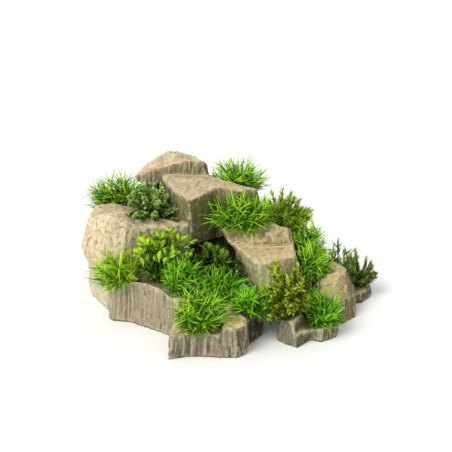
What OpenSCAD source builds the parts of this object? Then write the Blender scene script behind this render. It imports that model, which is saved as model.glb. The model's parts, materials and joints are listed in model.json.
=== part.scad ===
// Resin cave ornament: a heap of hollow cast stones round a small cave, with plug-in plastic plants.
// X runs to the right, Y to the back and Z up. The origin is on the ground, under the threshold stone.

/* [Stones] */
// Wall of the hollow castings, measured square to a side
wall = 5; // [4:0.5:6]

/* [Plant sockets] */
// Radius of the peg under each plant
peg_r = 3; // [2.5:0.1:3.2]
// Length of the peg below its collar
peg_l = 10; // [7:0.5:11]
// Gap all round the peg in its socket
socket_gap = 0.06; // [0.03:0.01:0.1]
// Radius of the collar that rests on the stone
collar_r = 6; // [5:0.5:6.5]
// Thickness of the collar
collar_t = 2; // [1.5:0.5:2.5]
// Resin left round a socket inside a hollow stone
boss_t = 4; // [3:0.5:5]

/* [Plants] */
// Spread of every plant, as a share of its full spread
spread = 1; // [0.8:0.05:1]
// Height of every plant, as a share of its full height
growth = 1; // [0.8:0.05:1]

/* [Hidden] */
// Clearance between a collar and the edge of its seat
seat_gap = 1;
// Depth of a socket below the end of its peg
socket_tip = 1;
// Height cleared above a seat, so that a plant can be lifted out
seat_sky = 24;
// Length by which a cut runs past a surface
past = 1;
// Thickness of a hollow stone's sloping top, straight down, as a share of its wall
top_share = 1.2;
sand = "tan";
lime = "limegreen";
olive = "olivedrab";
green = "darkgreen";

// Each stone is a stack of rings of points, from its underside up. A ring runs anticlockwise, seen from above.
SUMMIT = [
    [[-110, 76, 140], [-101, 69, 139], [-89, 66, 139], [-79, 66, 140], [-69, 66, 142], [-50, 66, 144],
     [-25, 67, 146], [-22, 82, 146], [-36, 96, 142], [-58, 104, 140], [-82, 104, 140], [-106, 96, 140]],
    [[-115, 80, 147], [-102, 70, 155], [-89, 67, 161], [-80, 68, 164], [-70, 67, 166], [-50, 68, 171],
     [-31, 69, 172], [-25, 78, 163], [-38, 88, 170], [-57, 88, 177], [-74, 88, 177], [-98, 88, 163]]];
UPPER = [
    [[-60, 32, 80], [-44, 21, 80], [-15, 44, 80], [4, 40, 86], [34, 42, 86], [37, 58, 90],
     [14, 66, 90], [-24, 90, 90], [-70, 92, 96], [-78, 63, 96]],
    [[-62, 37, 142], [-46, 22, 136], [-14, 44, 146], [4, 38, 143], [33, 42, 144], [36, 52, 141],
     [16, 51, 145], [-18, 74, 149], [-70, 92, 156], [-80, 60, 150]],
    [[-68, 56, 152], [-50, 54, 152], [-28, 56, 152], [-16, 56, 149], [-8, 56, 148], [-8, 58, 148],
     [-14, 62, 149], [-24, 70, 152], [-66, 84, 157], [-74, 62, 153]]];
PLINTH = [
    [[-104, 86, 98], [-66, 80, 98], [-40, 84, 98], [-40, 104, 98], [-70, 112, 98], [-102, 108, 98]],
    [[-98, 86, 150], [-66, 84, 152], [-42, 84, 152], [-44, 96, 152], [-70, 102, 150], [-96, 98, 150]]];
LEFT_BOULDER = [
    [[-144, 14, 38], [-122, 8, 38], [-100, 8, 38], [-46, 22, 38], [-46, 84, 38], [-90, 104, 38],
     [-150, 106, 38], [-176, 84, 38], [-167, 46, 38]],
    [[-150, 18, 66], [-124, 8, 66], [-102, 10, 64], [-46, 22, 64], [-46, 84, 64], [-90, 104, 64],
     [-150, 106, 64], [-182, 78, 60], [-177, 46, 64]],
    [[-137, 22, 121], [-119, 18, 113], [-104, 18, 105], [-48, 20, 108], [-52, 62, 99], [-92, 84, 101],
     [-142, 84, 112], [-161, 66, 115], [-165, 46, 110]]];
LEFT_FOOT = [
    [[-155, 31, 0], [-146, 15, 0], [-136, 10, 0], [-108, 20, 0], [-112, 100, 0], [-150, 106, 0],
     [-177, 90, 0], [-172, 66, 0], [-166, 50, 0]],
    [[-157, 32, 38], [-146, 17, 38], [-136, 12, 38], [-108, 20, 38], [-112, 98, 38], [-150, 104, 38],
     [-175, 86, 38], [-172, 66, 38], [-167, 50, 38]]];
FRONT_LEFT = [
    [[-141, -8, 0], [-136, -15, 0], [-113, -20, 0], [-92, -35, 0], [-76, -46, 0], [-57, -58, 0],
     [-38, -42, 0], [-36, 0, 0], [-72, 22, 0], [-140, 16, 0]],
    [[-140, -6, 38], [-131, -13, 47], [-110, -21, 55], [-88, -33, 55], [-73, -44, 52], [-56, -56, 45],
     [-38, -41, 45], [-36, -2, 47], [-72, 20, 58], [-138, 14, 48]]];
FRONT_LEDGE = [
    [[-67, -108, 0], [-50, -103, 0], [-34, -101, 0], [-9, -104, 0], [-6, -70, 0], [-30, -46, 0],
     [-60, -60, 0]],
    [[-66, -104, 27], [-50, -101, 29], [-34, -100, 28], [-9, -104, 28], [-6, -70, 30], [-30, -46, 31],
     [-60, -62, 30]]];
FRONT_BLOCK = [
    [[-10, -103, 0], [8, -104, 0], [19, -97, 0], [23, -74, 0], [10, -46, 0], [-2, -40, 0], [-14, -62, 0]],
    [[-7, -98, 35], [9, -102, 35], [20, -92, 35], [21, -76, 35], [9, -54, 37], [0, -40, 38],
     [-8, -62, 37]]];
THRESHOLD = [
    [[-44, -44, 0], [-8, -54, 0], [8, -40, 0], [10, -4, 0], [4, 24, 0], [-40, 26, 0]],
    [[-42, -42, 31], [-8, -50, 32], [6, -38, 34], [8, -4, 35], [2, 22, 36], [-40, 24, 38]]];
RECESS = [
    [[8, -62, 0], [19, -76, 0], [29, -66, 0], [40, -47, 0], [39, -22, 0], [8, -18, 0], [2, -42, 0]],
    [[8, -62, 31], [19, -74, 30], [28, -63, 31], [39, -46, 33], [38, -24, 36], [8, -20, 36], [2, -42, 35]]];
CENTRE_STEP = [
    [[24, 0, 34], [38, -32, 34], [50, -36, 34], [88, 2, 34], [90, 32, 34], [46, 46, 34], [12, 30, 34]],
    [[10, 0, 86], [34, -23, 77], [44, -21, 78], [78, 0, 77], [76, 24, 86], [44, 42, 92], [6, 30, 92]]];
CENTRE_BOULDER = [
    [[12, 12, 74], [16, 6, 74], [34, 6, 74], [44, 8, 74], [76, 16, 74], [80, 44, 74], [40, 58, 74],
     [0, 46, 74]],
    [[0, 10, 89], [10, 6, 83], [34, 8, 90], [44, 10, 98], [73, 16, 88], [78, 42, 86], [40, 56, 92],
     [-12, 44, 94]],
    [[-12, 26, 103], [4, 26, 105], [24, 28, 109], [48, 28, 108], [68, 28, 101], [71, 40, 96],
     [40, 52, 102], [-12, 42, 101]]];
STEP_TALL = [
    [[53, -62, 0], [64, -73, 0], [76, -81, 0], [90, -62, 0], [84, -36, 0], [60, -36, 0]],
    [[56, -60, 24], [64, -68, 27], [71, -75, 28], [85, -52, 30], [80, -38, 32], [62, -40, 29]]];
STEP_LOW = [
    [[76, -81, 0], [91, -63, 0], [104, -69, 0], [123, -55, 0], [128, -34, 0], [112, -16, 0],
     [82, -20, 0], [74, -50, 0]],
    [[75, -79, 15], [91, -66, 15], [104, -67, 16], [122, -54, 14], [126, -34, 14], [110, -18, 16],
     [82, -22, 17], [74, -50, 15]]];
RIGHT_BOULDER = [
    [[98, -22, 0], [126, -28, 0], [142, -14, 0], [150, -5, 0], [153, 18, 0], [148, 52, 0], [112, 60, 0],
     [92, 30, 0]],
    [[100, -14, 24], [124, -19, 26], [142, -7, 24], [150, 5, 20], [151, 22, 26], [142, 42, 28],
     [110, 50, 34], [94, 24, 32]],
    [[104, 4, 44], [117, 4, 52], [129, 7, 53], [138, 13, 48], [139, 24, 52], [127, 32, 57],
     [112, 32, 56], [105, 20, 52]]];
FAR_RIGHT = [
    [[152, 30, 0], [162, 32, 0], [170, 42, 0], [178, 56, 0], [172, 76, 0], [136, 84, 0], [120, 70, 0],
     [130, 50, 0]],
    [[153, 32, 12], [161, 34, 12], [169, 44, 13], [175, 56, 14], [170, 73, 15], [137, 80, 16],
     [123, 69, 16], [131, 52, 15]]];
REAR_LEFT = [
    [[-168, 78, 0], [-110, 60, 0], [-62, 60, 0], [-46, 72, 0], [-46, 108, 0], [-100, 118, 0],
     [-150, 116, 0]],
    [[-164, 82, 100], [-110, 62, 98], [-62, 60, 96], [-46, 72, 98], [-48, 104, 98], [-100, 112, 99],
     [-148, 110, 101]]];
REAR_WALL = [
    [[-48, 90, 0], [-4, 92, 0], [10, 98, 0], [8, 112, 0], [-48, 112, 0]],
    [[-48, 88, 62], [-4, 90, 62], [12, 96, 62], [10, 108, 62], [-48, 106, 62]]];
REAR_RIGHT = [
    [[40, 52, 0], [94, 46, 0], [108, 62, 0], [100, 104, 0], [44, 112, 0]],
    [[42, 50, 92], [82, 46, 82], [92, 60, 78], [88, 92, 84], [44, 98, 92]]];
SHOULDER = [
    [[80, 8, 0], [104, 8, 0], [112, 40, 0], [98, 56, 0], [80, 52, 0]],
    [[84, 8, 46], [102, 10, 44], [108, 38, 52], [96, 52, 66], [80, 48, 68]]];
REAR_LINTEL = [
    [[-48, 84, 62], [-10, 66, 62], [42, 58, 62], [46, 96, 62], [0, 112, 62], [-48, 108, 62]],
    [[-26, 82, 128], [4, 66, 130], [34, 60, 130], [36, 84, 126], [4, 96, 126], [-26, 98, 126]]];

// Plants: name, stone it stands on, seat, lean about X and Y in degrees, full spread radius, full height,
// colour. A positive lean about X tips a plant to the front, and one about Y tips it to the right.
PLANTS = [
    ["grass_rear_left", "rear_left_block", [-136, 98, 100], [-6, -10], 28, 40, lime],
    ["bush_rear_left", "left_boulder", [-92, 58, 105], [24, -4], 16, 32, olive],
    ["grass_summit", "rear_lintel", [10, 86, 126], [-8, 4], 28, 38, lime],
    ["grass_upper", "centre_boulder", [20, 30, 105], [38, 0], 24, 32, lime],
    ["bush_rear_right", "rear_right_block", [66, 64, 87], [0, 8], 24, 44, olive],
    ["grass_shoulder_high", "right_shoulder", [93, 42, 61], [0, 26], 15, 32, lime],
    ["grass_shoulder_low", "right_shoulder", [94, 20, 48], [12, 12], 12, 26, lime],
    ["sprig_far_right", "far_right_rock", [135, 67, 15], [0, 6], 13, 52, green],
    ["rosemary_far_right", "far_right_rock", [160, 56, 14], [0, 8], 14, 42, green],
    ["shrub_right_step", "right_step_tall", [73, -52, 29], [8, 0], 23, 56, olive],
    ["grass_right_step", "right_step_low", [104, -44, 16], [8, 8], 16, 32, lime],
    ["bush_right_step", "right_step_low", [91, -27, 16], [0, 4], 8, 34, olive],
    ["grass_recess", "recess_stone", [26, -50, 32], [26, 4], 17, 26, lime],
    ["grass_threshold", "threshold_stone", [-12, -28, 33], [14, -4], 17, 24, green],
    ["clover_cave", "threshold_stone", [-18, 6, 36], [0, 0], 15, 34, green],
    ["grass_front", "front_ledge", [-32, -82, 29], [12, 0], 24, 40, lime],
    ["grass_slab_right", "front_left_slab", [-55, -25, 47], [16, 12], 16, 30, lime],
    ["clover_slab", "front_left_slab", [-84, -8, 51], [12, 0], 22, 50, green],
    ["grass_slab_left", "front_left_slab", [-122, -5, 46], [14, -10], 19, 32, lime]];
STONES = ["summit_slab", "upper_block", "summit_plinth", "left_boulder", "left_foot", "front_left_slab",
    "front_ledge", "front_block", "threshold_stone", "recess_stone", "centre_step", "centre_boulder",
    "right_step_tall", "right_step_low", "right_boulder", "far_right_rock", "rear_left_block",
    "rear_right_block", "right_shoulder", "rear_lintel", "rear_wall"];

function total(values, i = 0) = i == len(values) ? 0 : values[i] + total(values, i + 1);
function middle(ring) = [for (axis = [0:2]) total([for (p = ring) p[axis]]) / len(ring)];
// The level unit vector to the left of a direction
function left_of(d) = [-d[1], d[0], 0] / norm([d[0], d[1]]);
// The way in from a ring's point: moving along it by 1 moves both of its sides in by 1
function inward(ring, i) =
    let (
        count = len(ring),
        before = left_of(ring[i] - ring[(i + count - 1) % count]),
        after = left_of(ring[(i + 1) % count] - ring[i]))
    (before + after) / (1 + before * after);
// The rings of the hollow in a stone: open below, and a wall in from the sides and the top
function hollow(rings) = [
    for (level = [0:len(rings) - 1])
        [for (i = [0:len(rings[level]) - 1])
            rings[level][i] + inward(rings[level], i) * wall
            + [0, 0, level == 0 ? -past : level == len(rings) - 1 ? -wall * top_share : 0]]];

// A closed solid through rings with the same number of points, with its ends fanned from their middles
module skin(rings) {
    count = len(rings[0]);
    top = (len(rings) - 1) * count;
    below = len(rings) * count;
    polyhedron(
        points = concat([for (ring = rings) each ring], [middle(rings[0]), middle(rings[len(rings) - 1])]),
        faces = concat(
            [for (i = [0:count - 1]) [below, i, (i + 1) % count]],
            [for (level = [0:len(rings) - 2], i = [0:count - 1])
                let (a = level * count + i, b = level * count + (i + 1) % count)
                each [[a, a + count, b + count], [a, b + count, b]]],
            [for (i = [0:count - 1]) [below + 1, top + (i + 1) % count, top + i]]));
}

// Moves to a plant's seat, with Z along its lean
module at_seat(plant) {
    translate(plant[2])
        rotate([plant[3][0], plant[3][1], 0])
            children();
}

// Whether a stone has any plant on it
function planted(stone_name) = len([for (plant = PLANTS) if (plant[1] == stone_name) plant]) > 0;

// The resin round each socket of a stone
module bosses(stone_name) {
    for (plant = PLANTS)
        if (plant[1] == stone_name)
            at_seat(plant)
                translate([0, 0, -peg_l - socket_tip - boss_t / 2])
                    cylinder(r = peg_r + socket_gap + boss_t, h = peg_l + socket_tip + boss_t, $fn = 32);
}

// The blind sockets of a stone, each with a flat seat for a collar
module sockets(stone_name) {
    for (plant = PLANTS)
        if (plant[1] == stone_name)
            at_seat(plant) {
                translate([0, 0, -peg_l - socket_tip])
                    cylinder(r = peg_r + socket_gap, h = peg_l + socket_tip + past, $fn = 48);
                cylinder(r = collar_r + seat_gap, h = seat_sky, $fn = 48);
            }
}

// A stone, hollow from below unless it is solid, with its sockets, cut back to meet its neighbours
module stone(stone_name, rings, solid = false) {
    difference() {
        if (solid)
            skin(rings);
        else {
            difference() {
                skin(rings);
                skin(hollow(rings));
            }
            if (planted(stone_name))
                intersection() {
                    skin(rings);
                    bosses(stone_name);
                }
        }
        sockets(stone_name);
        children();
    }
}

module summit_slab() color(sand) stone("summit_slab", SUMMIT, solid = true) {
    skin(UPPER);
    skin(PLINTH);
}
module upper_block() color(sand) stone("upper_block", UPPER, solid = true) {
    skin(LEFT_BOULDER);
    skin(REAR_LEFT);
    skin(PLINTH);
    skin(CENTRE_BOULDER);
    skin(CENTRE_STEP);
}
module summit_plinth() color(sand) stone("summit_plinth", PLINTH, solid = true) {
    skin(REAR_LEFT);
    skin(LEFT_BOULDER);
}
module left_boulder() color(sand) stone("left_boulder", LEFT_BOULDER) {
    skin(FRONT_LEFT);
}
module left_foot() color(sand) stone("left_foot", LEFT_FOOT) {
    skin(FRONT_LEFT);
}
module front_left_slab() color(sand) stone("front_left_slab", FRONT_LEFT);
module front_ledge() color(sand) stone("front_ledge", FRONT_LEDGE) {
    skin(FRONT_LEFT);
    skin(FRONT_BLOCK);
}
module front_block() color(sand) stone("front_block", FRONT_BLOCK);
module threshold_stone() color(sand) stone("threshold_stone", THRESHOLD, solid = true) {
    skin(FRONT_LEFT);
    skin(FRONT_LEDGE);
    skin(FRONT_BLOCK);
}
module recess_stone() color(sand) stone("recess_stone", RECESS) {
    skin(THRESHOLD);
    skin(FRONT_BLOCK);
}
module centre_step() color(sand) stone("centre_step", CENTRE_STEP, solid = true) {
    skin(RECESS);
    skin(STEP_TALL);
    skin(THRESHOLD);
}
module centre_boulder() color(sand) stone("centre_boulder", CENTRE_BOULDER, solid = true) {
    skin(CENTRE_STEP);
}
module right_step_tall() color(sand) stone("right_step_tall", STEP_TALL);
module right_step_low() color(sand) stone("right_step_low", STEP_LOW, solid = true) {
    skin(STEP_TALL);
}
module right_boulder() color(sand) stone("right_boulder", RIGHT_BOULDER) {
    skin(STEP_LOW);
    skin(SHOULDER);
}
module far_right_rock() color(sand) stone("far_right_rock", FAR_RIGHT, solid = true) {
    skin(RIGHT_BOULDER);
}
module rear_left_block() color(sand) stone("rear_left_block", REAR_LEFT) {
    skin(LEFT_BOULDER);
    skin(LEFT_FOOT);
}
module rear_right_block() color(sand) stone("rear_right_block", REAR_RIGHT) {
    skin(CENTRE_STEP);
    skin(CENTRE_BOULDER);
}
module right_shoulder() color(sand) stone("right_shoulder", SHOULDER) {
    skin(CENTRE_STEP);
    skin(CENTRE_BOULDER);
    skin(REAR_RIGHT);
}
module rear_wall() color(sand) stone("rear_wall", REAR_WALL, solid = true) {
    skin(REAR_LEFT);
    skin(REAR_LINTEL);
}
module rear_lintel() color(sand) stone("rear_lintel", REAR_LINTEL, solid = true) {
    skin(LEFT_BOULDER);
    skin(UPPER);
    skin(REAR_LEFT);
    skin(REAR_RIGHT);
    skin(CENTRE_BOULDER);
    skin(PLINTH);
    skin(SUMMIT);
}

// The base of a plant: a peg with a chamfered end, under a round collar
module plug(plant) {
    chamfer = 1;
    color(green)
        at_seat(plant) {
            translate([0, 0, -peg_l])
                cylinder(r1 = peg_r - chamfer, r2 = peg_r, h = chamfer, $fn = 48);
            translate([0, 0, chamfer - peg_l])
                cylinder(r = peg_r, h = peg_l - chamfer, $fn = 48);
            cylinder(r = collar_r, h = collar_t, $fn = 48);
        }
}

// The space that a plant's leaves fill, narrow at the collar and rounded at the top
module foliage(plant) {
    r = plant[4] * spread;
    h = plant[5] * growth;
    color(plant[6])
        at_seat(plant)
            rotate_extrude($fn = 24)
                polygon([[0, collar_t], [3, collar_t], [r, h * 0.65], [r * 0.8, h * 0.9], [r * 0.4, h], [0, h]]);
}

summit_slab();
upper_block();
summit_plinth();
left_boulder();
left_foot();
front_left_slab();
front_ledge();
front_block();
threshold_stone();
recess_stone();
centre_step();
centre_boulder();
right_step_tall();
right_step_low();
right_boulder();
far_right_rock();
rear_left_block();
rear_right_block();
right_shoulder();
rear_lintel();
rear_wall();
for (plant = PLANTS) {
    plug(plant);
    foliage(plant);
}
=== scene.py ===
"""Looks of the resin cave ornament: weathered cast stones with plug-in plastic plants.

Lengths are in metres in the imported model's frame, except where a name ends in _mm or _MM.
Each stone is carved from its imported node's own mesh, and each plant grows from its packed plug,
along the axis of its lift joint.
"""

import json
import math

import bpy
import numpy as np
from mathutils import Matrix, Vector
from mathutils.bvhtree import BVHTree


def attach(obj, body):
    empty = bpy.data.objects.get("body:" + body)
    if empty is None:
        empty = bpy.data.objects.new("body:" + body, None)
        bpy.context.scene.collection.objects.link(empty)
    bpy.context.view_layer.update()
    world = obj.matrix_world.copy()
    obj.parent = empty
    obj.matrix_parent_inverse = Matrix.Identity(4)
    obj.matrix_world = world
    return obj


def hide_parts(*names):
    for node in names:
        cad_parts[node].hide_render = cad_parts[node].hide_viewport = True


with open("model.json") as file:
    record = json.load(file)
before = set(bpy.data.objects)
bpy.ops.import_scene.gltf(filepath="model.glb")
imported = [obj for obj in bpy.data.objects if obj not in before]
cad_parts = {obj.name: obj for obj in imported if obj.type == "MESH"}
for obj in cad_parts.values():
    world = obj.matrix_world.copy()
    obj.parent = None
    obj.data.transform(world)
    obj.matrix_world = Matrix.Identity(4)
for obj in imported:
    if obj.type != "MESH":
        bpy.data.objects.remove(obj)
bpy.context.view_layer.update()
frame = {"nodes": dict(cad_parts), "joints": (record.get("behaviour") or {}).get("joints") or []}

MM = 0.001
UP = np.array([0.0, 0.0, 1.0])

# How far each plant lifts out of its socket
LIFT = 14 * MM

# Width of the cells that a stone's surface is rebuilt with
CELL = 0.0012

# Stones that swell over a seam where a face of theirs and a neighbour's nearly coincide, and by
# how many mm
SEAM_COVER = {"summit_plinth": ("summit_slab", 2.4)}

# The sides that face right, away from the key light, get painted shade, darker and greener: from
# how far right, as the x of the facing, and the stones where that differs
LEE_SHADE_FROM = 0.12
LEE_SHADE_FROM_OF = {"left_boulder": -0.22}

# Each stone's paint and relief: the colours of its top and its sides in steps of 0 to 255, how
# strongly its sides are ribbed, its green wash, and how craggy it is in mm
PAINT = {
    "summit_slab": ((202, 184, 150), (132, 122, 94), 0.75, 0.2, 1.3),
    "upper_block": ((186, 167, 134), (126, 122, 84), 0.25, 0.8, 1.1),
    "summit_plinth": ((190, 170, 132), (110, 98, 70), 0.7, 0.3, 1.6),
    "left_boulder": ((200, 183, 148), (220, 204, 170), 0.3, 0.15, 3.4),
    "left_foot": ((194, 178, 144), (206, 198, 168), 0.3, 0.1, 1.4),
    "front_left_slab": ((196, 180, 144), (158, 148, 124), 0.6, 0.1, 1.2),
    "front_ledge": ((182, 168, 130), (132, 126, 106), 0.75, 0.1, 1.4),
    "front_block": ((192, 176, 120), (138, 130, 108), 0.75, 0.15, 2.1),
    "threshold_stone": ((110, 98, 66), (78, 68, 46), 0.4, 0.4, 1.6),
    # Painted shade: the recess stone's top and sides are darkened for the shade under the overhang
    "recess_stone": ((96, 80, 52), (66, 52, 34), 0.3, 0.2, 1.6),
    "centre_step": ((196, 176, 132), (192, 182, 138), 0.4, 0.2, 1.9),
    "centre_boulder": ((198, 178, 134), (192, 172, 126), 0.35, 0.25, 4.2),
    "right_step_tall": ((164, 154, 112), (118, 115, 97), 0.4, 0.2, 1.1),
    "right_step_low": ((158, 148, 108), (118, 114, 93), 0.3, 0.2, 0.9),
    "right_boulder": ((186, 170, 118), (146, 130, 94), 0.6, 0.2, 2.4),
    "far_right_rock": ((148, 134, 110), (106, 98, 82), 0.4, 0.1, 1.4),
    "rear_left_block": ((204, 186, 146), (176, 162, 126), 0.6, 0.25, 1.9),
    "rear_right_block": ((196, 178, 138), (160, 146, 108), 0.6, 0.35, 2.2),
    "right_shoulder": ((180, 164, 122), (150, 138, 100), 0.5, 0.4, 1.9),
    "rear_lintel": ((198, 180, 140), (158, 144, 106), 0.6, 0.3, 2.2),
    "rear_wall": ((180, 164, 126), (140, 126, 94), 0.6, 0.3, 1.9),
}


# ---------------------------------------------------------------- small helpers


def linear(red, green, blue):
    """A colour given in the usual 0 to 255 steps, as linear RGBA."""

    def channel(value):
        value /= 255
        return value / 12.92 if value <= 0.04045 else ((value + 0.055) / 1.055) ** 2.4

    return (channel(red), channel(green), channel(blue), 1.0)


def unit(vectors):
    """Vectors scaled to length 1."""
    return vectors / np.maximum(np.linalg.norm(vectors, axis=-1, keepdims=True), 1e-9)


def ramp(low, high, values):
    """0 below low, 1 above high, smooth in between; falls instead if low is above high."""
    share = np.clip((values - low) / (high - low), 0, 1)
    return share * share * (3 - 2 * share)


def points_of(mesh):
    """A mesh's vertices as an array."""
    points = np.empty(len(mesh.vertices) * 3, np.float32)
    mesh.vertices.foreach_get("co", points)
    return points.reshape(-1, 3).astype(float)


def set_points(mesh, points):
    """Moves a mesh's vertices to an array of points."""
    mesh.vertices.foreach_set("co", points.astype(np.float32).ravel())
    mesh.update()


def set_shares(mesh, **shares):
    """Stores one number per vertex under each name, for the materials to read."""
    for name, values in shares.items():
        attribute = mesh.attributes.new(name, "FLOAT", "POINT")
        attribute.data.foreach_set("value", np.asarray(values, np.float32))


def set_colour(mesh, name, colours):
    """Stores one linear colour per vertex, for the materials to read."""
    attribute = mesh.attributes.new(name, "FLOAT_COLOR", "POINT")
    solid = np.concatenate([colours, np.ones((len(colours), 1))], axis=1)
    attribute.data.foreach_set("color", solid.astype(np.float32).ravel())


def blended(first, second, share):
    """Colours moved from first towards second by a share per point."""
    return first + (np.asarray(second) - first) * np.asarray(share)[:, None]


def shown(name, mesh, material):
    """A new smooth-shaded object of a mesh."""
    mesh.materials.clear()
    mesh.materials.append(material)
    mesh.polygons.foreach_set("use_smooth", np.ones(len(mesh.polygons), bool))
    made = bpy.data.objects.new(name, mesh)
    bpy.context.scene.collection.objects.link(made)
    return made


# ---------------------------------------------------------------- noise

# The noise repeats after this many cells
LATTICE = 48
gradients = unit(np.random.default_rng(7).normal(size=(LATTICE, LATTICE, LATTICE, 3)))


def noise(points, cell, shift=0.0):
    """Smooth noise of about -1 to 1 at each point, with bumps as wide as cell.

    cell is one width, or one for each axis."""
    places = points / cell + shift
    corner = np.floor(places).astype(int)
    inside = places - corner
    fade = inside**3 * (inside * (inside * 6 - 15) + 10)
    total = np.zeros(len(points))
    for step in np.ndindex(2, 2, 2):
        at = (corner + step) % LATTICE
        slope = gradients[at[:, 0], at[:, 1], at[:, 2]]
        weight = np.where(step, fade, 1 - fade).prod(axis=1)
        total += weight * ((inside - step) * slope).sum(axis=1)
    return total * 1.7


def shards(points, cell, shift):
    """Flat patches about cell wide, each at its own level and tilt, like a broken surface.

    Gives the surface's height, about -1 to 1, and a share that is 1 in the cracks between them."""
    places = points / cell + shift
    home = np.floor(places).astype(int)
    nearest = np.full(len(points), np.inf)
    second = np.full(len(points), np.inf)
    value = np.zeros(len(points))
    for step in np.ndindex(3, 3, 3):
        at = home + step - 1
        wrapped = at % LATTICE
        spin = gradients[wrapped[:, 0], wrapped[:, 1], wrapped[:, 2]]
        away = places - (at + 0.5 + 0.45 * spin)
        distance = np.sqrt((away**2).sum(axis=1))
        tilted_patch = 0.6 * spin[:, 0] + (away * spin[:, [1, 2, 0]]).sum(axis=1)
        value = np.where(distance < nearest, tilted_patch, value)
        second = np.where(distance < nearest, nearest, np.minimum(second, distance))
        nearest = np.minimum(distance, nearest)
    return value, ramp(0.06, 0.0, second - nearest)


# ---------------------------------------------------------------- node materials


class Nodes:
    """Builds one material's node tree with short calls."""

    def __init__(self, name):
        self.material = bpy.data.materials.new(name)
        self.material.use_nodes = True
        self.tree = self.material.node_tree
        self.shader = self.tree.nodes["Principled BSDF"]

    def add(self, kind, **settings):
        """A node with its settings; a setting that names an input sets or links that input."""
        node = self.tree.nodes.new(kind)
        for key, value in settings.items():
            if hasattr(node, key):
                setattr(node, key, value)
            else:
                self.feed(node.inputs[key.replace("_", " ")], value)
        return node

    def feed(self, socket, value):
        """Links an output to a socket, or sets the socket to a plain value."""
        if isinstance(value, bpy.types.NodeSocket):
            self.tree.links.new(value, socket)
        else:
            socket.default_value = value

    def share(self, name):
        """The number stored per vertex under this name."""
        return self.add("ShaderNodeAttribute", attribute_name=name).outputs["Fac"]

    def colour(self, name):
        """The colour stored per vertex under this name."""
        return self.add("ShaderNodeAttribute", attribute_name=name).outputs["Color"]

    def math(self, operation, first, second=0.0, clamp=False):
        """One arithmetic step."""
        node = self.add("ShaderNodeMath", operation=operation, use_clamp=clamp)
        self.feed(node.inputs[0], first)
        self.feed(node.inputs[1], second)
        return node.outputs[0]

    def mix(self, share, first, second, blend="MIX"):
        """Two colours mixed by a share."""
        node = self.add("ShaderNodeMix", data_type="RGBA", blend_type=blend)
        self.feed(node.inputs[0], share)
        self.feed(node.inputs[6], first)
        self.feed(node.inputs[7], second)
        return node.outputs[2]

    def steps(self, share, *stops):
        """A colour ramp through (place, colour) stops."""
        node = self.add("ShaderNodeValToRGB")
        elements = node.color_ramp.elements
        elements.remove(elements[1])
        elements[0].position, elements[0].color = stops[0]
        for place, colour in stops[1:]:
            elements.new(place).color = colour
        self.feed(node.inputs[0], share)
        return node.outputs[0]

    def grain(self, scale, detail, stretch=(1, 1, 1)):
        """Noise of about 0 to 1 over the object's own place, with scale bumps per metre."""
        place = self.add("ShaderNodeTexCoord").outputs["Object"]
        mapped = self.add("ShaderNodeMapping", Vector=place, Scale=stretch).outputs[0]
        return self.add(
            "ShaderNodeTexNoise", Vector=mapped, Scale=scale, Detail=detail, Roughness=0.6
        ).outputs["Fac"]

    def finish(self, **inputs):
        """Sets or links the shader's inputs and returns the material."""
        for key, value in inputs.items():
            self.feed(self.shader.inputs[key.replace("_", " ")], value)
        return self.material

    def bump(self, height, distance, strength):
        """A normal bent by a height."""
        return self.add(
            "ShaderNodeBump", Height=height, Distance=distance, Strength=strength
        ).outputs[0]


def stone_material():
    """Matt painted resin: the stone's paint with its painted shade, under fine vertical streaks and
    specks.
    """
    n = Nodes("painted_resin")
    speck = n.grain(620, 3)
    streak = n.grain(520, 3, (1, 1, 0.06))
    paint = n.colour("paint")
    lines = n.steps(
        streak,
        (0.34, (0.56, 0.52, 0.45, 1)),
        (0.46, (0.94, 0.94, 0.94, 1)),
        (0.62, (1.18, 1.17, 1.14, 1)),
    )
    colour = n.mix(n.share("ribbed"), paint, n.mix(1.0, paint, lines, "MULTIPLY"))
    dots = n.steps(
        speck, (0.33, (0.55, 0.5, 0.42, 1)), (0.43, (1, 1, 1, 1)), (0.7, (1.08, 1.07, 1.05, 1))
    )
    colour = n.mix(0.6, colour, dots, "MULTIPLY")
    rough = n.math("ADD", n.math("MULTIPLY", speck, 0.25), 0.68)
    lined = n.math("MULTIPLY", streak, n.math("MULTIPLY", n.share("ribbed"), 1.4))
    height = n.math("ADD", n.math("MULTIPLY", speck, 0.6), lined)
    return n.finish(
        Base_Color=colour,
        Roughness=rough,
        Specular_IOR_Level=0.25,
        Normal=n.bump(height, 0.8 * MM, 0.7),
    )


def leaf_material(name, base, middle, tip, stem):
    """Satin plastic that goes from base to tip colours outwards, each leaf a little different."""
    n = Nodes(name)
    vary = n.math("MULTIPLY", n.math("SUBTRACT", n.share("vary"), 0.5), 0.75)
    place = n.math("ADD", n.share("grow"), vary, clamp=True)
    # Painted shade: the base colour falls deep and low in the plant, the tip colour at its outside
    colour = n.steps(place, (0.26, base), (0.5, middle), (0.76, tip))
    rib = n.math("MULTIPLY", n.share("rib"), 0.3)
    colour = n.mix(rib, colour, tip)
    colour = n.mix(n.share("stem"), colour, stem)
    mottle = n.steps(n.grain(260, 2), (0.3, (0.72, 0.76, 0.7, 1)), (0.62, (1, 1, 1, 1)))
    colour = n.mix(0.6, colour, mottle, "MULTIPLY")
    fine = n.grain(1500, 2)
    roughness = n.math("ADD", n.math("MULTIPLY", fine, 0.2), 0.32)
    return n.finish(
        Base_Color=colour,
        Roughness=roughness,
        Specular_IOR_Level=0.18,
        Subsurface_Weight=0.06,
        Subsurface_Radius=(0.002, 0.003, 0.001),
        Subsurface_Scale=0.4,
        Normal=n.bump(fine, 0.2 * MM, 0.4),
    )


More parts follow.
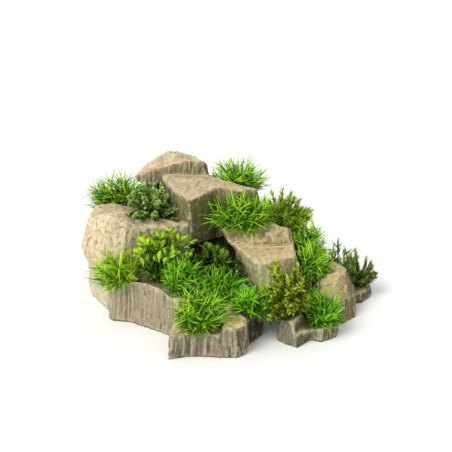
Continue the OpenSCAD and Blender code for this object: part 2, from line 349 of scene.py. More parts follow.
def plug_material():
    """Satin dark green plastic with fine mould grain."""
    n = Nodes("plug_plastic")
    grain = n.grain(700, 3)
    colour = n.steps(grain, (0.3, linear(22, 52, 24)), (0.7, linear(38, 78, 34)))
    return n.finish(
        Base_Color=colour,
        Roughness=n.math("ADD", n.math("MULTIPLY", grain, 0.25), 0.35),
        Normal=n.bump(grain, 0.2 * MM, 0.5),
    )


# ---------------------------------------------------------------- stones


def rebuilt(node):
    """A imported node's mesh rebuilt with even square cells."""
    work = bpy.data.objects.new("work", frame["nodes"][node].data.copy())
    bpy.context.scene.collection.objects.link(work)
    remesh = work.modifiers.new("even", "REMESH")
    remesh.mode = "VOXEL"
    remesh.voxel_size = CELL
    bpy.context.view_layer.update()
    depsgraph = bpy.context.evaluated_depsgraph_get()
    mesh = bpy.data.meshes.new_from_object(work.evaluated_get(depsgraph))
    bpy.data.objects.remove(work)
    return mesh


def averaged(values, edges, rounds):
    """Values per vertex, averaged with their neighbours' along the edges, some rounds over."""
    ends = np.concatenate([edges, edges[:, ::-1]])
    count = np.bincount(ends[:, 0], minlength=len(values))[:, None]
    for _ in range(rounds):
        sums = [np.bincount(ends[:, 0], column[ends[:, 1]], len(values)) for column in values.T]
        values = np.stack(sums, axis=1) / np.maximum(count, 1)
    return values


CREAM = linear(238, 226, 194)[:3]
DARK_BROWN = linear(66, 54, 34)[:3]
OLIVE = linear(82, 90, 30)[:3]
RUST = linear(176, 128, 84)[:3]
# The colour of painted shade where little sky is open and at the stones' feet
DEEP_SHADE = linear(28, 26, 12)[:3]

# Colours that darken the paint by multiplying it, as painted shade: on sides that face right, away
# from the key light, in hollows of the relief, and low among the plants
LEE_SHADE = (0.5, 0.52, 0.4)
HOLLOW_SHADE = (0.56, 0.5, 0.4)
SHADED = (0.62, 0.62, 0.5)

# Widths in mm of the bumps, flutes and shards that make up a stone's relief: one width, or one
# each for x, y and z
SWAY_MM = 34
LUMP_MM = 19
KNOB_MM = 7
PIT_MM = 3.0
FACET_MM = (11, 11, 90)
RIB_MM = (3.2, 3.2, 75)
LINE_MM = (1.9, 1.9, 45)
PATCH_MM = (17, 17, 24)
SLAB_MM = (19, 19, 12)
FLAKE_MM = (8, 8, 5)
PLANK_MM = (15, 15, 46)
SPLINTER_MM = (6, 6, 34)
RUST_MM = (9, 9, 26)

# How far the flutes and shards stray from straight lines, in mm
STRAY_MM = 2.5

# Points lower than this stay on the ground
GROUNDED = 0.3 * MM

# The most that the relief raises a stone, in mm, and the most that it takes off, as a share of how
# thick the stone is there
MOST_RAISED_MM = 0.6
MOST_CARVED = 0.3


class Shape:
    """What a stone's surface is like at each of its mesh's points, before it is carved."""

    def __init__(self, mesh, node):
        self.points = points_of(mesh)
        self.place_mm = self.points / MM
        edges = np.empty(len(mesh.edges) * 2, np.int32)
        mesh.edges.foreach_get("vertices", edges)
        self.edges = edges.reshape(-1, 2)
        normals = np.empty(len(self.points) * 3, np.float32)
        mesh.vertex_normals.foreach_get("vector", normals)
        normals = normals.reshape(-1, 3).astype(float)
        self.facing = unit(averaged(normals, self.edges, 4))
        smoothed_mm = averaged(self.place_mm, self.edges, 8)
        stand_out = ((self.place_mm - smoothed_mm) * self.facing).sum(axis=1)
        self.joined = touching(self.points, (other for other in PAINT if other != node))
        self.edge = ramp(0.1, 0.6, stand_out) * (1 - self.joined)
        self.corner = ramp(-0.12, -0.7, stand_out)
        self.top = ramp(0.4, 0.66, self.facing[:, 2])
        self.under = ramp(-0.4, -0.7, self.facing[:, 2])
        self.side = 1 - self.top - self.under


class Grain:
    """The layers of a stone's relief at each point, most of them about -1 to 1 or 0 to 1."""

    def __init__(self, shape, node, order):
        shift = order * 3.7
        place_mm = shape.place_mm
        level = np.zeros(len(place_mm))
        across = [noise(place_mm, SWAY_MM, shift), noise(place_mm, SWAY_MM, shift + 9)]
        waved = place_mm + STRAY_MM * np.stack([*across, level], axis=1)
        self.lump = noise(place_mm, LUMP_MM, shift)
        self.knob = noise(place_mm, KNOB_MM, shift)
        self.pit = noise(place_mm, PIT_MM, shift)
        self.facet = noise(waved, FACET_MM, shift)
        self.rib = noise(waved, RIB_MM, shift)
        self.line = noise(waved, LINE_MM, shift + 3)
        self.groove = ramp(0.0, -0.5, 0.7 * self.rib + 0.6 * self.line)
        self.ridge = ramp(0.0, 0.5, 0.7 * self.rib + 0.6 * self.line)
        patch = 0.25 + 0.75 * ramp(-0.35, 0.3, noise(waved, PATCH_MM, shift + 15))
        _, _, ribs, _, _ = PAINT[node]
        self.ribs = ribs * patch
        shelf = 2.2 * (self.lump + 0.4 * self.knob)
        self.step = np.floor(shelf) + ramp(0.3, 0.7, shelf - np.floor(shelf)) - 0.5
        self.chip = ramp(-0.05, 0.4, self.knob + 0.5 * self.pit)
        self.hole = ramp(0.3, 0.65, -self.pit) * ramp(-0.1, 0.3, self.knob)
        self.rust = ramp(0.2, 0.7, noise(place_mm, RUST_MM, shift + 12))
        slabs, slab_seams = shards(waved, SLAB_MM, shift)
        flakes, _ = shards(place_mm, FLAKE_MM, shift)
        planks, plank_seams = shards(waved, PLANK_MM, shift + 6)
        splinters, _ = shards(waved, SPLINTER_MM, shift + 8)
        self.broken = 0.75 * slabs + 0.25 * flakes
        self.split = 0.7 * planks + 0.3 * splinters
        seams = 0.6 * shape.side * plank_seams + 0.25 * shape.top * slab_seams
        self.crack = seams * ramp(0.1, 0.5, self.knob + self.lump)


def relief(shape, grain, node):
    """How far each point of a stone moves outwards, in mm."""
    *_, crag = PAINT[node]
    side_mm = crag * (0.65 * grain.split + 0.3 * grain.broken)
    side_mm += 0.35 * grain.lump + 0.4 * grain.facet
    side_mm += grain.ribs * (0.4 * grain.rib + 0.3 * grain.line - 0.5 * grain.groove)
    side_mm -= (1 - grain.ribs) * 0.5 * grain.hole + 0.3
    top_mm = 0.3 * grain.step + 0.6 * crag * grain.broken + 0.2 * grain.knob + 0.1 * grain.pit
    top_mm -= 0.4 * grain.hole + 0.3
    under_mm = 0.5 * grain.knob - 0.3
    move_mm = shape.side * side_mm + shape.top * top_mm + shape.under * under_mm - 0.7 * grain.crack
    chipped = 0.1 + 1.5 * ramp(-0.1, 0.5, grain.broken + 0.6 * grain.chip - 0.2)
    move_mm -= shape.edge * chipped
    deepest_mm = MOST_CARVED * thickness(shape.points, shape.facing, node) / MM
    move_mm = np.clip(move_mm, -deepest_mm, MOST_RAISED_MM)
    move_mm += shape.joined * (0.4 - move_mm)
    if node in SEAM_COVER:
        neighbour, swell_mm = SEAM_COVER[node]
        move_mm += touching(shape.points, [neighbour]) * swell_mm
    inner = inside_hollow(shape.points, shape.facing, node)
    return move_mm * clear_of_seats(shape.points) * (1 - inner)


def painted(shape, grain, node, move_mm):
    """The paint at each point of a stone, with painted shade and painted highlights, as linear
    colours.
    """
    sand, wall, _, wash, _ = PAINT[node]
    sand = np.array(linear(*sand)[:3])
    wall = np.array(linear(*wall)[:3])
    raised = move_mm - averaged(move_mm[:, None], shape.edges, 7)[:, 0]
    # Painted highlight on the relief's crests and painted shade in its hollows
    crest_highlight = ramp(0.0, 0.45, raised) * (1 - shape.edge)
    hollow = ramp(0.0, -0.5, raised)
    near = near_plants(shape.points)
    open_share = openness(shape)
    turn = LEE_SHADE_FROM_OF.get(node, LEE_SHADE_FROM)
    away = ramp(turn, turn + 0.3, shape.facing[:, 0])
    tone = 1 + 0.12 * grain.lump + 0.1 * grain.knob
    green = wash * ramp(-0.5, 0.4, grain.lump + 0.5 * grain.facet) * (0.5 + 0.5 * near)
    # Painted shade: darker where little of the sky is open, as in the cave, and in a band at each
    # stone's foot
    ground = ramp(2 * MM, 0.5 * MM, shape.points[:, 2])
    painted_shade = 1 - (1 - 0.92 * ramp(0.6, 0.08, open_share)) * (1 - 0.6 * ground)

    colour = wall * tone[:, None]
    colour = blended(colour, colour * 0.5, 0.6 * grain.ribs * grain.groove)
    colour = blended(colour, CREAM, 0.28 * grain.ribs * grain.ridge)
    colour = blended(colour, RUST, 0.22 * grain.rust)
    # Painted shade on the sides that face right, away from the key light
    colour = blended(colour, colour * LEE_SHADE, 0.75 * away)
    colour = blended(colour, OLIVE, 0.8 * green)
    sand = blended(sand * tone[:, None], OLIVE, 0.35 * wash * near * ramp(0.0, 0.5, grain.lump))
    colour = blended(colour, sand, shape.top)
    # Painted shade in the relief's hollows, then a painted highlight on its crests
    colour = blended(colour, colour * HOLLOW_SHADE, 0.75 * hollow)
    colour = blended(colour, CREAM, 0.34 * crest_highlight)
    # Cracks and pits are coloured a darker brown
    colour = blended(colour, DARK_BROWN, 0.4 * grain.crack)
    colour = blended(colour, DARK_BROWN, 0.3 * grain.hole)
    colour = blended(colour, CREAM, 0.6 * shape.edge * ramp(-0.4, 0.3, grain.knob + grain.pit))
    # Painted shade: inward corners, away from the seams, are darkened to half
    colour = blended(colour, colour * 0.5, 0.7 * shape.corner * (1 - shape.joined))
    # Painted shade low among the plants, where little of the sky is open
    colour = blended(colour, colour * SHADED, 0.8 * near * ramp(0.75, 0.35, open_share))
    # Painted shade where little sky is open and at each stone's foot
    return blended(colour, DEEP_SHADE, painted_shade)


def carved(node, order):
    """A packed stone with chipped edges, ribbed sides and flaked, pitted tops, with its paint and
    painted shade.
    """
    mesh = rebuilt(node)
    shape = Shape(mesh, node)
    grain = Grain(shape, node, order)
    move_mm = relief(shape, grain, node)
    moved = shape.points + move_mm[:, None] * MM * shape.facing
    moved[shape.points[:, 2] < GROUNDED, 2] = 0.0
    moved[:, 2] = np.maximum(moved[:, 2], 0.0)
    set_points(mesh, moved)
    set_colour(mesh, "paint", painted(shape, grain, node, move_mm))
    set_shares(mesh, ribbed=shape.side * (0.15 + 0.75 * grain.ribs))
    return mesh


# ---------------------------------------------------------------- where the plants stand

lift_axis = {joint["child"]: unit(np.array(joint["axis"], float)) for joint in frame["joints"]}


def collar_top(plant):
    """Centre of the top face of a plant's plug."""
    points = points_of(frame["nodes"][plant + "_plug"].data)
    heights = points @ lift_axis[plant]
    return points[heights > heights.max() - 0.02 * MM].mean(axis=0)


# Every plant is the child of a lift joint
seats = {plant: collar_top(plant) for plant in lift_axis}


def nearest_seat(points):
    """Distance of each point to the nearest plant's collar."""
    places = np.array(list(seats.values()))
    return np.min([np.linalg.norm(points - place, axis=1) for place in places], axis=0)


def clear_of_seats(points):
    """0 under and round each collar, 1 away from it, so that the plugs still seat."""
    return ramp(8 * MM, 12 * MM, nearest_seat(points))


def surfaces(nodes):
    """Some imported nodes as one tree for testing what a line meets."""
    vertices, faces = [], []
    for node in nodes:
        mesh = frame["nodes"][node].data
        start = len(vertices)
        vertices += [v.co.copy() for v in mesh.vertices]
        faces += [[start + i for i in p.vertices] for p in mesh.polygons]
    return BVHTree.FromPolygons(vertices, faces)


rock = surfaces(PAINT)
foliage = surfaces(plant + "_foliage" for plant in lift_axis)
everything = surfaces(frame["nodes"])


def closeness(points, tree, near, far):
    """1 at points within near of a tree's surfaces, falling to 0 at far."""
    gaps = [tree.find_nearest(point, far)[3] for point in points]
    return ramp(far, near, np.array([far if gap is None else gap for gap in gaps]))


def near_plants(points):
    """1 beside the plants' leaves, falling to 0 some way off."""
    return closeness(points, foliage, 3 * MM, 26 * MM)


def touching(points, stones):
    """1 where points meet any of some stones, falling to 0 a few millimetres away."""
    return closeness(points, surfaces(stones), 1 * MM, 3 * MM)


def thickness(points, facing, node):
    """How far it is through a stone from each point, up to skip + reach."""
    own = surfaces([node])
    skip = 0.8 * MM
    reach = 12 * MM
    starts = points - facing * skip
    hits = [own.ray_cast(start, -way, reach)[3] for start, way in zip(starts, map(Vector, facing))]
    return skip + np.array([reach if hit is None else hit for hit in hits])


def inside_hollow(points, facing, node):
    """1 on the walls of a stone's hollow, which face that stone's other walls, and 0 outside."""
    own = surfaces([node])
    starts = points + facing * 1 * MM
    hits = [own.ray_cast(start, way)[0] for start, way in zip(starts, facing)]
    return np.array([hit is not None for hit in hits], float)


# Openness is tested by this many rays of this length, from one in every few points
RAY_COUNT = 14
RAY_LENGTH = 45 * MM
RAY_EVERY = 10
RAYS = [Vector(ray) for ray in unit(np.random.default_rng(3).normal(size=(RAY_COUNT, 3)))]


def openness(shape):
    """How far each point lies open, 0 to 1, from rays at some of the points, spread to the rest.

    Points that touch another stone are left out, so that a seam takes the value round about it."""
    known = np.zeros((len(shape.points), 2))
    for i in np.nonzero(shape.joined < 0.5)[0][::RAY_EVERY]:
        outward = Vector(shape.facing[i])
        start = Vector(shape.points[i]) + outward * 2 * MM
        rays = [ray if ray.dot(outward) > 0 else -ray for ray in RAYS]
        clear = sum(everything.ray_cast(start, ray, RAY_LENGTH)[0] is None for ray in rays)
        known[i] = clear / len(rays), 1
    known = averaged(known, shape.edges, 11)
    return known[:, 0] / np.maximum(known[:, 1], 1e-9)


def free_length(start, head, length):
    """How far a straight line runs from start before it meets rock, up to length."""
    gap = rock.ray_cast(Vector(start), Vector(head), length)[3]
    return length if gap is None else gap


def can_rise(points, axis):
    """Whether each point meets no rock on its way up when its plant is lifted out."""
    free = [free_length(point, axis, LIFT) for point in points]
    return np.array(free) >= LIFT


# ---------------------------------------------------------------- leaves

# Width along a leaf, from its foot to its tip, as a share of its full width
BLADE = (0.7, 0.95, 1.0, 0.95, 0.75, 0.12)
NEEDLE = (0.6, 1.0, 0.8, 0.1)
SPOON = (0.16, 0.2, 0.42, 0.86, 1.0, 0.86, 0.3)
ROUND = (0.2, 0.75, 1.0, 0.85, 0.25)
LANCE = (0.2, 0.65, 1.0, 0.9, 0.55, 0.06)
STEM = (1.0, 0.92, 0.84, 0.76, 0.7)


def strips(roots, heads, bends, lengths, widths, profile, fold, depth, face):
    """Closed strips that start at roots along heads and curve by bends.

    fold lifts a strip's two edges and depth is its thickness, both as shares of its width.
    Gives their points (strip, station, corner, xyz) and how far along a strip each station is."""
    along = np.linspace(0, 1, len(profile))[None, :, None]
    reached = heads[:, None] * along + bends[:, None] * along**2
    path = roots[:, None] + lengths[:, None, None] * reached
    tangent = unit(heads[:, None] + 2 * bends[:, None] * along)
    side = unit(np.cross(heads, face))[:, None] * np.ones_like(tangent)
    normal = unit(np.cross(side, tangent))
    half = widths[:, None, None] / 2 * np.array(profile)[None, :, None]
    edge = path + normal * half * fold
    thick = normal * half * depth
    corners = [path + thick, edge + side * half, path - thick, edge - side * half]
    return np.stack(corners, axis=2), along[0, :, 0]


def strip_faces(count, stations):
    """The quads that close strips of that many stations."""
    ring = np.arange(4)
    turn = (ring + 1) % 4
    band = np.stack([ring, turn, turn + 4, ring + 4], axis=1)
    walls = [band + 4 * station for station in range(stations - 1)]
    ends = [np.array([[0, 3, 2, 1]]), 4 * (stations - 1) + np.array([[0, 1, 2, 3]])]
    one = np.concatenate(walls + ends)
    return (one[None] + (np.arange(count) * 4 * stations)[:, None, None]).reshape(-1, 4)


# How square a plant's outline is: 2 is an ellipsoid, and more fills its corners
SQUARENESS = 2.6

# How far from the middle of the collar the outermost stems start, and the shortest stem that grows
FOOT = 2.5 * MM
SHORTEST_STEM = 4 * MM

# A stem that would meet rock stops at this share of the way to it
ROCK_MARGIN = 0.85

# Stems that follow each other round by this angle never line up
GOLDEN_ANGLE = math.radians(137.5)

# A little over one turn, so that no direction is left out
FULL_TURN = 6.3


class Reach:
    """How far a plant's leaves reach from its seat in each direction."""

    def __init__(self, seat, left, right, front, back, up, drop):
        self.seat = seat
        self.low = np.array([left, front, drop]) * MM
        self.high = np.array([right, back, up]) * MM

    def along(self, heads):
        """Distance from the seat to the plant's rounded outline along each unit vector."""
        limits = np.where(heads > 0, self.high, self.low)
        return (np.abs(heads / limits) ** SQUARENESS).sum(axis=-1) ** (-1 / SQUARENESS)

    def share(self, points):
        """0 at the seat and 1 at the plant's outline."""
        away = points - self.seat
        return np.linalg.norm(away, axis=-1) / self.along(unit(away + 1e-9))


class Growth:
    """Collects one plant's stems and leaves and makes them one mesh."""

    def __init__(self, plant, reach, seed):
        self.plant = plant
        self.seat = seats[plant]
        self.axis = lift_axis[plant]
        self.reach = Reach(self.seat, *reach)
        size = self.reach.high - self.reach.low
        self.fan = unit(self.axis * self.reach.high[2] + size * (0.5, 0.5, 0))
        self.rng = np.random.default_rng(seed)
        self.points, self.faces, self.shares = [], [], []
        self.count = 0

    def put(self, roots, heads, bends, lengths, widths, profile, fold, depth, face, stem):
        """Adds strips, as stems or leaves."""
        made, along = strips(roots, heads, bends, lengths, widths, profile, fold, depth, face)
        count, stations = made.shape[:2]
        self.points.append(made.reshape(-1, 3))
        self.faces.append(strip_faces(count, stations) + self.count)
        self.count += made.size // 3
        outward = self.reach.share(made)
        vary = np.broadcast_to(self.rng.random(count)[:, None, None], outward.shape)
        rib = np.broadcast_to(np.array([1.0, 0.0, 1.0, 0.0]), outward.shape)
        height = (made[..., 2] - self.seat[2]) / self.reach.high[2]
        # Painted shade: lower in the plant and nearer its seat, the leaves take the darker base
        # colour
        grow = 0.3 * outward + 0.2 * along[None, :, None] + 0.5 * np.clip(height, -0.2, 1)
        stem_share = np.full(outward.shape, float(stem))
        shares = np.stack([grow, vary, rib * (1 - stem), stem_share])
        self.shares.append(shares.reshape(4, -1))

    def stems(self, count, spread, share, bend, width):
        """Main stems that fan out from the seat, spread evenly up to that angle from its middle.

        Gives the roots, heads, bends and lengths of those that meet no rock."""
        turn = np.arange(count) * GOLDEN_ANGLE + self.rng.uniform(-0.35, 0.35, count)
        lean = spread * np.sqrt((np.arange(count) + 0.5) / count)
        across = unit(np.cross(self.fan, [0.31, 0.95, 0.05]))
        over = np.cross(self.fan, across)
        flat = across * np.cos(turn)[:, None] + over * np.sin(turn)[:, None]
        heads = unit(self.fan * np.cos(lean)[:, None] + flat * np.sin(lean)[:, None])
        heads = unit(heads + self.rng.normal(0, 0.07, heads.shape))
        roots = self.seat + flat * FOOT * np.sin(lean)[:, None]
        lengths = self.reach.along(heads) * share * self.rng.uniform(0.82, 1.06, count)
        bends = UP * bend + self.rng.normal(0, 0.05, heads.shape)
        return self.kept(roots, heads, bends, lengths, width)

    def kept(self, roots, heads, bends, lengths, width):
        """Draws stems, each cut short where it would meet rock, and returns them."""
        starts = roots + heads * 1.5 * MM
        free = list(map(free_length, starts, unit(heads + bends), lengths))
        lengths = np.minimum(lengths, np.array(free) * ROCK_MARGIN)
        good = lengths > SHORTEST_STEM
        good &= can_rise(roots + lengths[:, None] * (heads + bends), self.axis)
        roots, heads, bends, lengths = roots[good], heads[good], bends[good], lengths[good]
        widths = np.full(len(roots), width)
        self.put(roots, heads, bends, lengths, widths, STEM, 0.0, 1.0, np.roll(heads, 1, axis=1), 1)
        return roots, heads, bends, lengths

    def branches(self, stems, places, angle, share, width, bend=0.15):
        """Side stems at some places along each stem."""
        made = []
        for place in places:
            at, head = along_stem(stems, place)
            turn = self.rng.uniform(0, 2 * math.pi, len(at))
            heads = tilted(head, turn, angle + self.rng.normal(0, 0.12, len(at)))
            lengths = stems[3] * share * self.rng.uniform(0.7, 1.1, len(at))
            made.append((at, heads, UP * bend + self.rng.normal(0, 0.05, heads.shape), lengths))
        joined = [np.concatenate(parts) for parts in zip(*made)]
        return self.kept(*joined, width)

    def whorls(
        self,
        stems,
        places,
        leaves,
        angle,
        leaf,
        width,
        profile,
        fold,
        depth,
        droop,
        curl=0.07,
        above=-1,
    ):
        """Leaves in rings round each stem at some places along it, where they don't cut into rock.

        angle and leaf, the leaves' angle from the stem and their length, are each a pair for the
        lowest ring and the last, blended between.
        above leaves out those that end lower than that share of the plant's height."""
        for place in places:
            blend = (place - places[0]) / max(places[-1] - places[0], 1e-6)
            tilt = angle[0] + (angle[1] - angle[0]) * blend
            size = leaf[0] + (leaf[1] - leaf[0]) * blend
            at, head = along_stem(stems, place)
            at, head = np.repeat(at, leaves, axis=0), np.repeat(head, leaves, axis=0)
            total = len(at)
            turn = np.tile(np.arange(leaves) * 2 * math.pi / leaves, total // leaves)
            turn = turn + np.repeat(self.rng.uniform(0, FULL_TURN, total // leaves), leaves)
            turn = turn + self.rng.normal(0, 0.25, total)
            heads = tilted(head, turn, tilt + self.rng.normal(0, 0.16, total))
            lengths = size * self.rng.uniform(0.72, 1.2, total)
            bends = head * 0.16 - UP * droop + self.rng.normal(0, curl, heads.shape)
            outline_share = self.reach.share(at + lengths[:, None] * (heads + bends))
            lengths = lengths * np.clip(1 / outline_share, 0.5, 1)
            tips = at + lengths[:, None] * (heads + bends)
            spans = np.linalg.norm(tips - at, axis=1)
            starts = at + heads * 0.4 * MM
            free = list(map(free_length, starts, unit(tips - at), spans))
            lowest = max(1 * MM, self.seat[2] + above * self.reach.high[2])
            clear = (np.array(free) >= spans) & (tips[:, 2] > lowest)
            for points in (at, (at + tips) / 2, tips):
                clear &= can_rise(points, self.axis)
            at, heads, head = at[clear], heads[clear], head[clear]
            bends, lengths = bends[clear], lengths[clear]
            widths = width * self.rng.uniform(0.8, 1.15, len(at))
            face = head + 0.2 * UP
            self.put(at, heads, bends, lengths, widths, profile, fold, depth, face, 0)

    def mesh(self):
        """All stems and leaves as one mesh with its paint shares."""
        mesh = bpy.data.meshes.new(self.plant)
        mesh.from_pydata(np.concatenate(self.points), [], np.concatenate(self.faces))
        grow, vary, rib, stem = np.concatenate(self.shares, axis=1)
        set_shares(mesh, grow=np.clip(grow, 0, 1), vary=vary, rib=rib, stem=stem)
        return mesh


def along_stem(stems, place):
    """Points and directions at a share of each stem's length."""
    roots, heads, bends, lengths = stems
    at = roots + lengths[:, None] * (heads * place + bends * place**2)
    return at, unit(heads + 2 * bends * place)


def tilted(heads, turn, angle):
    """Heads tipped by angle, each towards its own turn about itself."""
    across = unit(np.cross(heads, [0.21, 0.37, 0.9]))
    over = np.cross(heads, across)
    flat = across * np.cos(turn)[:, None] + over * np.sin(turn)[:, None]
    return unit(heads * np.cos(angle)[:, None] + flat * np.sin(angle)[:, None])


# ---------------------------------------------------------------- kinds of plant
#
# Stems are given by their count, the angle that they spread to, how far they reach as a share of
# the outline, how much they bend up, and their width.
# Leaves are given by their places along the stems, how many are in a ring, their angle, length,
# width, profile, fold and thickness, how much they droop and how much they curl.


def spaced(first, count):
    """That many even places along a stem, from first to its tip."""
    return tuple(np.linspace(first, 1, count))


def grass(g):
    """A full tuft of short stems with rings of long blades that arch and curl."""
    blade = 17 * MM
    width = 1.5 * MM
    size = g.reach.high - g.reach.low
    stems = max(34, round(size[0] * size[2] / (7.4 * MM) ** 2))
    main = g.stems(stems, math.radians(90), 0.7, 0.08, 0.9 * MM)
    short = (blade * 0.8, blade)
    full = (blade, blade)
    g.whorls(main, (0.3, 0.5), 4, (0.9, 0.9), short, width, BLADE, 0.35, 0.16, 0.1, 0.5)
    g.whorls(main, (0.7, 0.85), 5, (1.0, 0.9), full, width, BLADE, 0.35, 0.16, 0.2, 0.55)
    g.whorls(main, (1.0,), 6, (0.75, 0.75), full, width, BLADE, 0.35, 0.16, 0.2, 0.6)


def clover(g, above=0.46):
    """Arching stems with a few needles at the foot, dark with painted shade, and rosettes of broad
    spoon leaves.

    above is the share of the plant's height where the spoons begin."""
    leaf = 12.5 * MM
    spoon = leaf * 0.5
    main = g.stems(46, math.radians(50), 0.9, 0.0, 1.2 * MM)
    lower = (leaf * 0.75, leaf * 0.9)
    full = (leaf, leaf)
    g.whorls(main, (0.15, 0.3, 0.45), 2, (0.5, 0.5), full, 1.4 * MM, NEEDLE, 0.3, 0.3, 0.1, 0.3)
    g.whorls(main, (0.7, 0.85), 3, (1.0, 0.95), lower, spoon, SPOON, 0.2, 0.08, 0.1, above=above)
    g.whorls(main, (1.0,), 5, (0.8, 0.8), full, spoon * 1.1, SPOON, 0.2, 0.08, 0.15, above=above)


def leafy_clover(g):
    """Clover with spoons down to its foot."""
    clover(g, above=0)


def round_bush(g):
    """A dense cushion of stems with small round leaves all the way up."""
    leaf = 5.6 * MM
    main = g.stems(66, math.radians(84), 0.95, 0.1, 0.7 * MM)
    places = (0.34, 0.45, 0.56, 0.66, 0.76, 0.85, 0.93, 1.0)
    g.whorls(main, places, 4, (1.15, 0.7), (leaf, leaf * 0.85), leaf * 0.7, ROUND, 0.2, 0.12, 0.05)


def feathery(g):
    """Arching plumes of short needles on forked stems."""
    main = g.stems(42, math.radians(84), 0.86, 0.05, 0.8 * MM)
    fork = g.branches(main, (0.35, 0.55), math.radians(38), 0.5, 0.6 * MM)
    on_main = (8.5 * MM, 8 * MM)
    on_fork = (7 * MM, 6.5 * MM)
    g.whorls(main, spaced(0.25, 11), 4, (0.9, 0.5), on_main, 1.6 * MM, NEEDLE, 0.3, 0.3, 0.02)
    g.whorls(fork, spaced(0.2, 7), 4, (0.9, 0.5), on_fork, 1.3 * MM, NEEDLE, 0.3, 0.3, 0.02)


def lance(g):
    """A few upright stems with long arching lance leaves."""
    main = g.stems(19, math.radians(56), 0.78, 0.1, 0.9 * MM)
    ring = (14 * MM, 15 * MM)
    last = (16 * MM, 16 * MM)
    g.whorls(main, (0.3, 0.55, 0.78), 3, (0.8, 0.8), ring, 3.1 * MM, LANCE, 0.3, 0.12, 0.15)
    g.whorls(main, (1.0,), 5, (0.6, 0.6), last, 3.2 * MM, LANCE, 0.3, 0.12, 0.15)


def rosemary(g):
    """Straight upright stems set closely with short thick needles."""
    main = g.stems(26, math.radians(66), 0.97, 0.12, 0.8 * MM)
    needle = (5.4 * MM, 4.8 * MM)
    g.whorls(main, spaced(0.16, 15), 4, (0.95, 0.5), needle, 1.5 * MM, NEEDLE, 0.2, 0.4, -0.02)


def shrub(g):
    """Tall forked stems with many small narrow leaves, open at the top and thick at the foot."""
    main = g.stems(17, math.radians(60), 0.97, 0.1, 1.0 * MM)
    fork = g.branches(main, (0.32, 0.5, 0.68), math.radians(36), 0.36, 0.7 * MM)
    on_main = (8 * MM, 7 * MM)
    on_fork = (7.5 * MM, 6.5 * MM)
    g.whorls(main, spaced(0.25, 11), 3, (0.9, 0.5), on_main, 3.4 * MM, LANCE, 0.25, 0.16, 0.02)
    g.whorls(fork, spaced(0.3, 6), 3, (0.9, 0.5), on_fork, 3.2 * MM, LANCE, 0.25, 0.16, 0.02)


# Each plant: its kind, its material, and its reach in mm: left, right, front, back, up, drop.
PLANTS = {
    "grass_rear_left": (grass, "grass", (42, 38, 22, 26, 47, 4)),
    "bush_rear_left": (round_bush, "olive", (28, 56, 46, 14, 42, 6)),
    "grass_summit": (grass, "grass", (38, 42, 22, 26, 42, 3)),
    "grass_upper": (grass, "grass", (54, 36, 26, 14, 42, 3)),
    "bush_rear_right": (feathery, "feather", (30, 40, 24, 22, 58, 4)),
    "grass_shoulder_high": (grass, "grass", (25, 22, 20, 20, 55, 4)),
    "grass_shoulder_low": (grass, "grass", (14, 28, 20, 14, 38, 10)),
    "sprig_far_right": (lance, "lance", (17, 25, 14, 16, 54, 3)),
    "rosemary_far_right": (rosemary, "rosemary", (15, 22, 16, 16, 46, 10)),
    "shrub_right_step": (shrub, "shrub", (56, 18, 24, 20, 92, 2)),
    "grass_right_step": (grass, "blue_grass", (26, 23, 20, 18, 40, 8)),
    "bush_right_step": (round_bush, "dark_olive", (12, 18, 10, 12, 50, 4)),
    "grass_recess": (grass, "deep_grass", (23, 34, 26, 14, 28, 20)),
    "grass_threshold": (grass, "deep_grass", (26, 42, 18, 18, 38, 6)),
    "clover_cave": (leafy_clover, "dark_clover", (25, 46, 22, 20, 54, 4)),
    "grass_front": (grass, "grass", (27, 34, 24, 24, 50, 6)),
    "grass_slab_right": (grass, "blue_grass", (19, 31, 20, 18, 39, 6)),
    "clover_slab": (clover, "clover", (24, 50, 22, 20, 70, 6)),
    "grass_slab_left": (grass, "yellow_grass", (44, 16, 24, 14, 45, 9)),
}

# Colours of each foliage material: base, which is painted shade low and deep in the plant, middle,
# tip and stem.
LEAF_COLOURS = {
    "grass": ((1, 24, 14), (36, 146, 2), (196, 255, 56), (4, 44, 14)),
    "deep_grass": ((1, 18, 9), (24, 112, 4), (160, 240, 44), (4, 34, 12)),
    "blue_grass": ((1, 22, 22), (28, 122, 8), (172, 248, 52), (4, 38, 28)),
    "yellow_grass": ((2, 42, 24), (88, 190, 2), (222, 255, 60), (14, 76, 22)),
    "olive": ((22, 40, 14), (98, 134, 44), (182, 210, 116), (52, 58, 24)),
    "dark_olive": ((18, 30, 12), (60, 84, 24), (124, 148, 46), (48, 48, 22)),
    "feather": ((48, 74, 14), (138, 180, 28), (200, 230, 74), (104, 96, 30)),
    "lance": ((26, 54, 20), (88, 132, 48), (172, 200, 100), (54, 72, 28)),
    "rosemary": ((20, 40, 14), (80, 114, 38), (150, 180, 78), (60, 58, 28)),
    "shrub": ((20, 38, 10), (116, 146, 20), (204, 224, 62), (72, 70, 26)),
    "clover": ((4, 34, 30), (72, 138, 14), (184, 226, 56), (10, 52, 46)),
    "dark_clover": ((4, 12, 8), (32, 60, 14), (112, 150, 42), (12, 30, 20)),
}


def dress_stones():
    """Replaces every packed stone with its carved and painted one."""
    paint = stone_material()
    for order, node in enumerate(PAINT):
        piece = shown(node + "_stone", carved(node, order), paint)
        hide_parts(node)
        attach(piece, "stones")


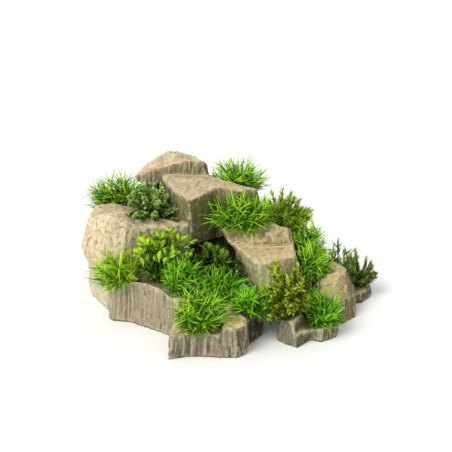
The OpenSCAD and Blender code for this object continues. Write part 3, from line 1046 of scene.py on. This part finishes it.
def dress_plants():
    """Grows every plant's leaves in place of its packed leaf solid, and paints its plug."""
    plug = plug_material()
    leaf = {
        name: leaf_material("leaf_" + name, *[linear(*colour) for colour in colours])
        for name, colours in LEAF_COLOURS.items()
    }
    for seed, (plant, (kind, material, reach)) in enumerate(PLANTS.items(), 11):
        growth = Growth(plant, reach, seed)
        kind(growth)
        piece = shown(plant + "_leaves", growth.mesh(), leaf[material])
        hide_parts(plant + "_foliage")
        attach(piece, plant)
        peg = frame["nodes"][plant + "_plug"]
        peg.data.materials.clear()
        peg.data.materials.append(plug)


# ---------------------------------------------------------------- floor, light and camera

# The camera looks at TARGET from DISTANCE away
TARGET = Vector((-0.003, 0.0, 0.114))
DISTANCE = 1.2
ELEVATION = math.radians(22)
LENS_MM = 83.47

FLOOR_SIZE = 30
FLOOR_Z = -0.2 * MM
SKY_STRENGTH = 0.72


def aimed(thing, location, target):
    """Puts a lamp or camera at location, looking at target."""
    made = bpy.data.objects.new(thing.name, thing)
    bpy.context.scene.collection.objects.link(made)
    made.location = location
    sight = Vector(target) - Vector(location)
    made.rotation_euler = sight.to_track_quat("-Z", "Y").to_euler()
    return made


def sun(name, location, strength, width, colour):
    """A distant lamp that shines from location, with soft shadows by its width in degrees."""
    lamp = bpy.data.lights.new(name, "SUN")
    lamp.energy = strength
    lamp.angle = math.radians(width)
    lamp.color = colour
    aimed(lamp, location, TARGET)


def studio():
    """A plain pale floor under even soft light, brightest from the upper left."""
    bpy.ops.mesh.primitive_plane_add(size=FLOOR_SIZE, location=(0, 0, FLOOR_Z))
    floor = bpy.context.object
    floor.name = "floor"
    n = Nodes("floor")
    floor.data.materials.append(n.finish(Base_Color=(0.95, 0.95, 0.95, 1), Roughness=0.9))
    world = bpy.data.worlds.new("studio")
    world.use_nodes = True
    sky = world.node_tree.nodes["Background"]
    sky.inputs["Color"].default_value = (1, 1, 1, 1)
    sky.inputs["Strength"].default_value = SKY_STRENGTH
    bpy.context.scene.world = world
    sun("key", (-1.0, -0.9, 1.6), 2.0, 35, (1.0, 0.98, 0.95))
    bpy.context.scene.view_settings.view_transform = "Standard"


def add_camera():
    """The camera in front of the object, a little above it."""
    lens = bpy.data.cameras.new("camera")
    lens.lens = LENS_MM
    back = Vector((0, -math.cos(ELEVATION), math.sin(ELEVATION)))
    bpy.context.scene.camera = aimed(lens, TARGET + back * DISTANCE, TARGET)


add_camera()
studio()
dress_stones()
dress_plants()
